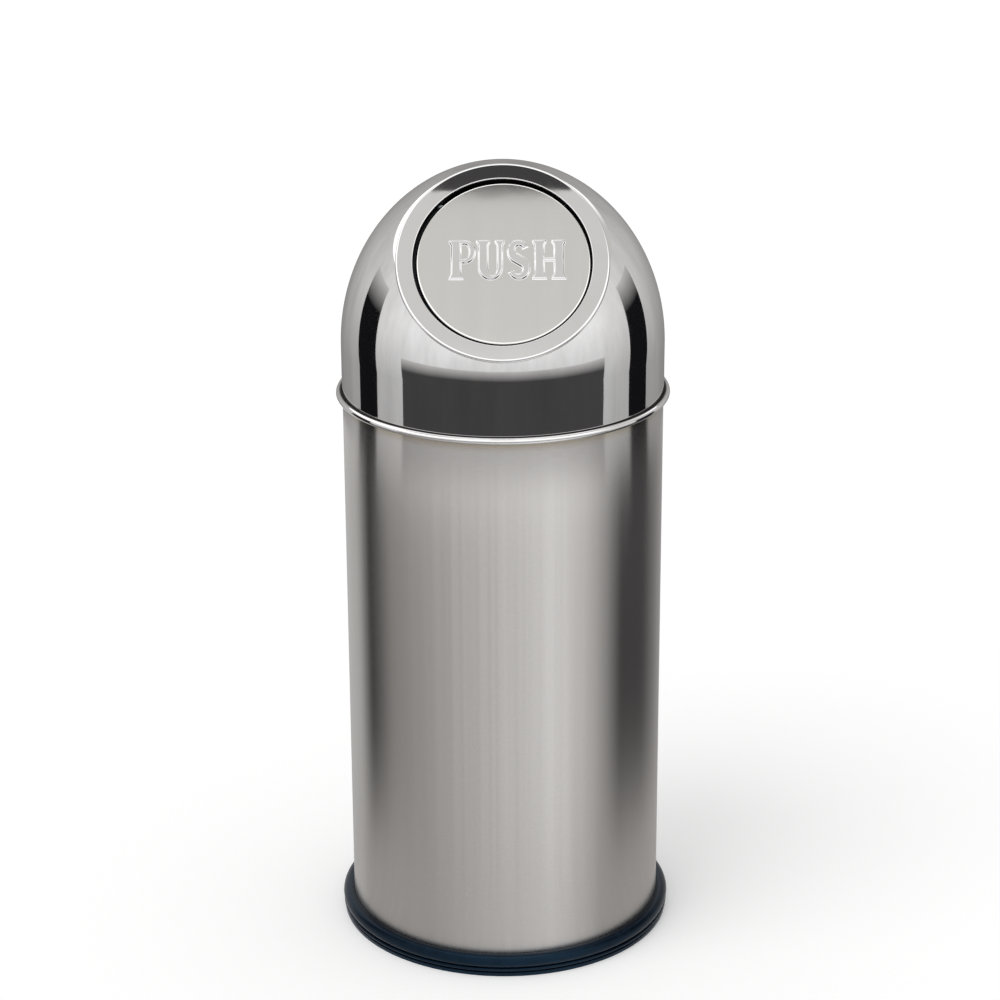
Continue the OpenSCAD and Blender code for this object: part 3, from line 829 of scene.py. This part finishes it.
def makeLettering():
    curve, wide = letterCurve()
    flat = bpy.data.objects.new("flat", curve)
    bpy.context.scene.collection.objects.link(flat)
    graph = bpy.context.evaluated_depsgraph_get()
    mesh = bpy.data.meshes.new_from_object(flat.evaluated_get(graph))
    bpy.data.objects.remove(flat)
    bm = bmesh.new()
    bm.from_mesh(mesh)
    bmesh.ops.remove_doubles(bm, verts=bm.verts, dist=1e-6)
    bmesh.ops.recalc_face_normals(bm, faces=bm.faces)
    share = lettering["raised"] / lettering["slope"]
    for vertex in bm.verts:
        vertex.co.z *= share if vertex.co.z > 0 else share * lettering["behind"]
    x, y = lettering["centre"]
    shift = Matrix.Translation((x - wide / 2, y - lettering["height"] / 2, -flap["recess"]))
    letters = pieceFrom("pushLetters", bm, onFace @ shift, sharp=180)
    flatTops(letters.data, onFace)
    finishPiece(letters, "polished_steel", "flap")


# the tops of the letters lie level with the flap's face, and their edges start and end level with it
def flatTops(mesh, place):
    out = place.to_3x3() @ Vector((0, 0, 1))
    back = place.inverted()
    top = lettering["raised"] - flap["recess"]
    normals = []
    for vertex in mesh.vertices:
        height = (back @ vertex.co).z
        level = min(abs(height - top), abs(height + flap["recess"])) < 0.02 * mm
        normals.append(out if level else vertex.normal.copy())
    mesh.normals_split_custom_set_from_vertices(normals)


makeLettering()
print("lettering made")

spring = {
    "wire": 0.8 * mm,
    "mean": 3.8 * mm,
    "start": 33 * mm,
    "length": 12 * mm,
    "turns": 6,
    "legDrop": 30 * mm,
    "legAt": 2 * mm,
    "postAt": 10 * mm,
    "postUp": 13 * mm,
    "backing": 11.3 * mm,
    "sheet": 1.2 * mm,
}


# a wire of round section along points, with a ring at each
def wireAlong(bm, points, radius, sides=10):
    rings = []
    for i, point in enumerate(points):
        before, after = points[max(0, i - 1)], points[min(len(points) - 1, i + 1)]
        turn = (after - before).to_track_quat("Z", "Y").to_matrix().to_4x4()
        made = bmesh.ops.create_circle(bm, cap_ends=False, segments=sides, radius=radius,
                                       matrix=Matrix.Translation(point) @ turn)
        rings.append(made["verts"])
    for low, high in zip(rings, rings[1:]):
        edges = {e for v in low + high for e in v.link_edges if len(e.link_faces) < 2}
        edges = [e for e in edges if (e.verts[0] in low) == (e.verts[1] in low)]
        bmesh.ops.bridge_loops(bm, edges=edges)
    for ring in (rings[0], rings[-1]):
        bmesh.ops.contextual_create(bm, geom=ring)


def makeSpring(side, name, node):
    up, deep = flapRing["hingeUp"], -flapRing["hingeIn"]
    mean, wire = spring["mean"], spring["wire"]
    coil = bmesh.new()
    profile = bmesh.ops.create_circle(coil, segments=10, radius=wire,
                                      matrix=Matrix.Translation((spring["start"] + wire, up + mean, deep))
                                      @ Matrix.Rotation(math.pi / 2, 4, "X"))
    edges = list({e for v in profile["verts"] for e in v.link_edges})
    steps = 28 * spring["turns"]
    pitch = (spring["length"] - 2 * wire) / spring["turns"]
    bmesh.ops.spin(coil, geom=profile["verts"] + edges, cent=(0, up, deep), axis=(1, 0, 0),
                   dvec=(pitch / 28, 0, 0), angle=math.tau * spring["turns"], steps=steps)
    bmesh.ops.recalc_face_normals(coil, faces=coil.faces)
    post = spring["start"] + spring["postAt"]
    low = deep - mean
    wireAlong(coil, [Vector((post, up, low)), Vector((post, up + spring["postUp"] - wire, low)),
                     Vector((post, up + spring["postUp"], low + wire)),
                     Vector((post, up + spring["postUp"], -spring["sheet"]))], wire)
    mirror = Matrix.Diagonal((side, 1, 1, 1))
    bmesh.ops.transform(coil, matrix=mirror, verts=coil.verts)
    bmesh.ops.recalc_face_normals(coil, faces=coil.faces)
    finishPiece(pieceFrom(name + "Coil", coil, onFace), "spring_steel", "lid", node)
    leg = bmesh.new()
    legX = spring["start"] + spring["legAt"]
    wireAlong(leg, [Vector((legX, up - mean * 0.9, deep + mean * 0.43)),
                    Vector((legX, up - spring["legDrop"], -spring["backing"] - wire - 0.1 * mm))], wire)
    bmesh.ops.transform(leg, matrix=mirror, verts=leg.verts)
    bmesh.ops.recalc_face_normals(leg, faces=leg.faces)
    finishPiece(pieceFrom(name + "Leg", leg, onFace), "spring_steel", "flap")


makeSpring(1, "rightSpring", "spring_right")
makeSpring(-1, "leftSpring", "spring_left")
print("springs made")

cadFinishes = {
    "zinc_sheet": ["base_plate", "liner_bucket", "liner_bottom", "liner_ears", "lid_collar", "frame_clips",
                   "hinge_brackets", "flap_back", "flap_knuckles"],
    "plain_wire": ["rim_wire", "ear_rivets", "bail_handle", "hinge_rod", "rod_caps", "knuckle_rivets"],
    "black_rubber": ["stop_buffers"],
    "grip_plastic": ["bail_grip"],
}


def dressNodes():
    for finish, names in cadFinishes.items():
        for name in names:
            node = nodes[name]
            node.data.materials.clear()
            node.data.materials.append(finishes[finish])
    # the backing plate takes the near-black painted gap shade
    nodes["flap_back"].data.materials[0] = paintedGapShadeSheet()


dressNodes()
print("frame pieces dressed")

studio = {
    "floorSize": 40,
    "floorColour": tint(244, 244, 244),
    "floorLift": 0.2,
    "skyLight": 0.72,
    "sunPower": 0.75,
    "sunSpread": 38,  # degrees across
    "sunFrom": (-1.3, -1.1, 2.6),
    "cardDistance": 1.15,
    "cardStep": 2,  # degrees
    "cardRows": 4,
    "cardUneven": 0.08,
    "cardGrain": (3, 3, 3),
    "wallDistance": 1.5,
    "wallHeight": 1.3,
    "bandDistance": 0.32,
    "bandHeight": 0.47,
    "bandFloor": (180, 178, 176),
    "bandFloorTop": 0.2,  # how far up the floor's light reaches
    "bandFloorFade": 2.2,
    "bandFloorDim": 0.35,
    "bandTopFrom": 0.45,
    "bandTopGlow": 1.3,
    "bandDip": 0.085,  # lower at the sides, so that the dome looks over them
    "tentRadius": 3.4,
    "lightFoot": 0.6,
    "lightRise": 0.65,  # for each metre up
    "lightMost": 1.1,
}

# Plain cards that only glossy rays see, so that the metal has lights and darks to show. Directions
# are degrees from the front towards +X, as the dome shows them, and heights are metres.
cardTones = {
    "white": (245, 245, 245), "pale": (200, 199, 198), "grey": (150, 148, 147),
    "charcoal": (70, 69, 70), "black": (20, 20, 22),
}
# from, to, foot, head, tone: each fades to the wall's tone at its head
cards = [
    (-122, -100, 0, 0.95, "black"), (100, 122, 0, 0.95, "black"), (-75, 75, 0, 0.46, "charcoal"),
]
wallStops = [(-180, "grey"), (-130, "pale"), (-60, "white"), (60, "white"), (130, "pale"), (180, "grey")]

# broad soft bands round the tube, for its brushed finish, in degrees round it from its front
bandStops = [
    (-90, "pale"), (-66, "pale"), (-56, "black"), (-44, "grey"), (-15, "pale"), (18, "white"),
    (34, "pale"), (46, "charcoal"), (60, "charcoal"), (74, "grey"), (90, "pale"),
]


def glossOnly(card):
    card.visible_camera = False
    card.visible_diffuse = False
    card.visible_shadow = False


# a glow from the card's own tones, a little uneven as cloth is
def cardGlow(name, unevenness, grain):
    material = bpy.data.materials.new(name)
    material.use_nodes = True
    tree = material.node_tree
    tree.nodes.clear()
    colour = addNode(tree, "ShaderNodeVertexColor", layer_name="glow")
    place = addNode(tree, "ShaderNodeTexCoord")
    stretch = addNode(tree, "ShaderNodeMapping")
    stretch.inputs["Scale"].default_value = grain
    noise = addNode(tree, "ShaderNodeTexNoise", values={"Scale": 1, "Detail": 4, "Roughness": 0.6})
    level = addNode(tree, "ShaderNodeMapRange", values={
        "From Min": 0.3, "From Max": 0.7, "To Min": 1 - unevenness, "To Max": 1 + unevenness})
    glow = addNode(tree, "ShaderNodeEmission")
    output = addNode(tree, "ShaderNodeOutputMaterial")
    join(tree, place, "Object", stretch, "Vector")
    join(tree, stretch, "Vector", noise, "Vector")
    join(tree, noise, "Fac", level, "Value")
    join(tree, colour, "Color", glow, "Color")
    join(tree, level, "Result", glow, "Strength")
    join(tree, glow, "Emission", output, "Surface")
    return material


# where something at a distance stands, for the bin to show it in a direction
def shownAt(direction, distance):
    turn = math.radians(direction)
    across, ahead = tubeRadius * math.sin(turn / 2), tubeRadius * math.cos(turn / 2)
    reach = math.sqrt(distance ** 2 - across ** 2) - ahead
    x = across + reach * math.sin(turn)
    y = ahead + reach * math.cos(turn)
    return math.atan2(x, y)


def onRing(distance, direction, height):
    turn = shownAt(direction, distance)
    return Vector((distance * math.sin(turn), -distance * math.cos(turn), height))


# the cards and the wall are lighter higher up
def litAt(height):
    level = studio["lightFoot"] + height * studio["lightRise"]
    return min(max(level, studio["lightFoot"]), studio["lightMost"])


def makeCards():
    bm = bmesh.new()
    layer = bm.loops.layers.float_color.new("glow")
    for number, (start, end, foot, head, tone) in enumerate(cards):
        distance = studio["cardDistance"] - mm * number
        columns = round((end - start) / studio["cardStep"])
        made = bmesh.ops.create_grid(bm, x_segments=columns, y_segments=studio["cardRows"], size=0.5)["verts"]
        for vertex in made:
            along, up = vertex.co.x + 0.5, vertex.co.y + 0.5
            height = foot + (head - foot) * up
            vertex.co = onRing(distance, start + (end - start) * along, height + mm)
            for loop in vertex.link_loops:
                loop[layer] = tint(*cardTones["pale" if up > 0.99 else tone])
    piece = pieceFrom("cards", bm)
    piece.data.materials.append(cardGlow("cardPaint", studio["cardUneven"], studio["cardGrain"]))
    glossOnly(piece)


def stopColour(stops, place):
    for (start, first), (end, last) in zip(stops, stops[1:]):
        if start <= place <= end:
            share = (place - start) / (end - start)
            return [a + (b - a) * share for a, b in zip(tint(*first), tint(*last))]
    return tint(*stops[0][1])


def addWall(name, outline, colourAt, unevenness, grain, dip=0):
    bm = bmesh.new()
    layer = bm.loops.layers.float_color.new("glow")
    points = [bm.verts.new((0, -r, z)) for r, z in outline]
    edges = [bm.edges.new(pair) for pair in zip(points, points[1:])]
    bmesh.ops.spin(bm, geom=points + edges, cent=(0, 0, 0), axis=(0, 0, 1),
                   angle=math.tau, steps=720, use_merge=True)
    for face in bm.faces:
        for loop in face.loops:
            place = loop.vert.co
            direction = math.degrees(math.atan2(place.x, -place.y))
            loop[layer] = colourAt(direction, math.hypot(place.x, place.y), place.z)
    for vertex in bm.verts:
        x, y, z = vertex.co
        direction = math.degrees(math.atan2(x, -y))
        lowered = z * (1 - dip * (1 - math.cos(math.radians(direction / 2))))
        vertex.co = onRing(math.hypot(x, y), direction, lowered)
    wall = pieceFrom(name, bm)
    wall.data.materials.append(cardGlow(name + "Paint", unevenness, grain))
    glossOnly(wall)


def makeWall():
    stops = [(at, cardTones[tone]) for at, tone in wallStops]
    distance = studio["wallDistance"]

    def colourAt(direction, radius, height):
        return [part * litAt(height) for part in stopColour(stops, direction)[:3]] + [1]
    heights = [studio["wallHeight"] * i / 8 for i in range(9)]
    addWall("softWall", [(distance, 0.001 + height) for height in heights], colourAt, 0.08, (5, 5, 2))


def makeBands():
    inner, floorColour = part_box("base_ring")[1].x + 2 * mm, tint(*studio["bandFloor"])
    distance = studio["bandDistance"]
    stops = [(at, cardTones[tone]) for at, tone in bandStops]

    def colourAt(direction, radius, height):
        colour = stopColour(stops, direction / 2)
        if height > studio["bandTopFrom"]:
            return [part * studio["bandTopGlow"] for part in colour[:3]] + [1]
        share = max(0, 1 - height / studio["bandFloorTop"]) ** studio["bandFloorFade"]
        return [a + (b - a) * share * (1 if b > a else studio["bandFloorDim"])
                for a, b in zip(colour, floorColour)]
    heights = [0.001, 0.025, 0.05, 0.075, 0.1, 0.125, 0.15, 0.175, studio["bandFloorTop"],
               studio["bandTopFrom"] - 4 * mm, studio["bandTopFrom"] + 4 * mm, studio["bandHeight"]]
    outline = [(inner, 0.001)] + [(distance, height) for height in heights]
    addWall("bands", outline, colourAt, 0.15, (100, 100, 0.6), studio["bandDip"])


# soft grey patches of the tent: place, reach, colour
tentPatches = [
    ((2.6, 1, 2), 2.2, (172, 170, 168)),
    ((0, 1.5, 3), 1.1, (160, 160, 162)),
]
tentSteps = [(0, (152, 152, 155)), (0.38, (152, 152, 154)), (0.5, (255, 255, 255)), (0.84, (255, 255, 255)),
             (0.885, (182, 181, 179)), (0.945, (182, 181, 179)), (0.97, (255, 255, 255)),
             (1, (255, 255, 255))]
tentGlow = 1.6


def makeTent():
    bm = bmesh.new()
    radius = studio["tentRadius"]
    points = [bm.verts.new((r, 0, z)) for r, z in arc(0, 0, radius, 90, 0, 24)]
    edges = [bm.edges.new(pair) for pair in zip(points, points[1:])]
    bmesh.ops.spin(bm, geom=points + edges, cent=(0, 0, 0), axis=(0, 0, 1),
                   angle=math.tau, steps=64, use_merge=True)
    bmesh.ops.remove_doubles(bm, verts=bm.verts, dist=1e-5)
    tent = pieceFrom("tent", bm)
    material = bpy.data.materials.new("tentCloth")
    material.use_nodes = True
    tree = material.node_tree
    tree.nodes.clear()
    place = addNode(tree, "ShaderNodeTexCoord")
    split = addNode(tree, "ShaderNodeSeparateXYZ")
    height = addNode(tree, "ShaderNodeMath", operation="DIVIDE", values={1: radius})
    ramp = addNode(tree, "ShaderNodeValToRGB")
    elements = ramp.color_ramp.elements
    while len(elements) < len(tentSteps):
        elements.new(0.5)
    for element, (at, colour) in zip(elements, tentSteps):
        element.position = at
        element.color = tint(*colour)
    join(tree, place, "Object", split, 0)
    join(tree, split, "Z", height, 0)
    join(tree, height, 0, ramp, "Fac")
    source, output = ramp, "Color"
    for centre, reach, colour in tentPatches:
        away = addNode(tree, "ShaderNodeVectorMath", operation="DISTANCE")
        away.inputs[1].default_value = centre
        soft = addNode(tree, "ShaderNodeMapRange", interpolation_type="SMOOTHSTEP", values={
            "From Min": reach, "From Max": reach * 0.4})
        mix = addNode(tree, "ShaderNodeMix", data_type="RGBA")
        mix.inputs["B"].default_value = tint(*colour)
        join(tree, place, "Object", away, 0)
        join(tree, away, "Value", soft, "Value")
        join(tree, soft, "Result", mix, "Factor")
        join(tree, source, output, mix, "A")
        source, output = mix, "Result"
    glow = addNode(tree, "ShaderNodeEmission", values={"Strength": tentGlow})
    result = addNode(tree, "ShaderNodeOutputMaterial")
    join(tree, source, output, glow, "Color")
    join(tree, glow, "Emission", result, "Surface")
    tent.data.materials.append(material)
    glossOnly(tent)


# one plain dark card over the front of the bin, for the top of the flap ring to show
overheadCard = {"height": 1.25, "centre": (0, -0.3), "wide": 0.15, "deep": 0.05, "tone": "charcoal"}


def makeOverheadCard():
    bm = bmesh.new()
    layer = bm.loops.layers.float_color.new("glow")
    x, y = overheadCard["centre"]
    size = Matrix.Diagonal((overheadCard["wide"], overheadCard["deep"], 1, 1))
    bmesh.ops.create_grid(bm, x_segments=1, y_segments=1, size=0.5,
                          matrix=Matrix.Translation((x, y, overheadCard["height"])) @ size)
    for face in bm.faces:
        for loop in face.loops:
            loop[layer] = tint(*cardTones[overheadCard["tone"]])
    piece = pieceFrom("overheadCard", bm)
    piece.data.materials.append(cardGlow("overheadPaint", studio["cardUneven"], studio["cardGrain"]))
    glossOnly(piece)


def raySeen(tree):
    path = addNode(tree, "ShaderNodeLightPath")
    first = addNode(tree, "ShaderNodeMath", operation="MAXIMUM")
    both = addNode(tree, "ShaderNodeMath", operation="MAXIMUM")
    join(tree, path, "Is Camera Ray", first, 0)
    join(tree, path, "Is Glossy Ray", first, 1)
    join(tree, first, 0, both, 0)
    join(tree, path, "Is Transmission Ray", both, 1)
    return both


def makeFloor():
    bm = bmesh.new()
    bmesh.ops.create_grid(bm, x_segments=1, y_segments=1, size=studio["floorSize"] / 2)
    floor = pieceFrom("floor", bm)
    material, tree, shader = newMaterial("paleFloor", {
        "Base Color": studio["floorColour"], "Roughness": 0.9, "Specular IOR Level": 0})
    shader.inputs["Emission Color"].default_value = (1, 1, 1, 1)
    seen = raySeen(tree)
    lift = addNode(tree, "ShaderNodeMath", operation="MULTIPLY", values={1: studio["floorLift"]})
    join(tree, seen, 0, lift, 0)
    join(tree, lift, 0, shader, "Emission Strength")
    floor.data.materials.append(material)


def makeLight():
    world = bpy.data.worlds.new("world")
    bpy.context.scene.world = world
    world.use_nodes = True
    tree = world.node_tree
    shader = tree.nodes["Background"]
    shader.inputs["Color"].default_value = (1, 1, 1, 1)
    seen = raySeen(tree)
    level = addNode(tree, "ShaderNodeMapRange", values={"To Min": studio["skyLight"], "To Max": 1})
    join(tree, seen, 0, level, "Value")
    join(tree, level, "Result", shader, "Strength")
    sun = bpy.data.lights.new("sun", "SUN")
    sun.energy = studio["sunPower"]
    sun.angle = math.radians(studio["sunSpread"])
    lamp = bpy.data.objects.new("sun", sun)
    bpy.context.scene.collection.objects.link(lamp)
    place = Vector(studio["sunFrom"])
    lamp.matrix_world = Matrix.Translation(place) @ place.to_track_quat("Z", "Y").to_matrix().to_4x4()
    lamp.visible_glossy = False
    bpy.context.scene.view_settings.view_transform = "Standard"


makeCards()
makeWall()
makeBands()
makeTent()
makeOverheadCard()
makeFloor()
makeLight()
print("studio set")
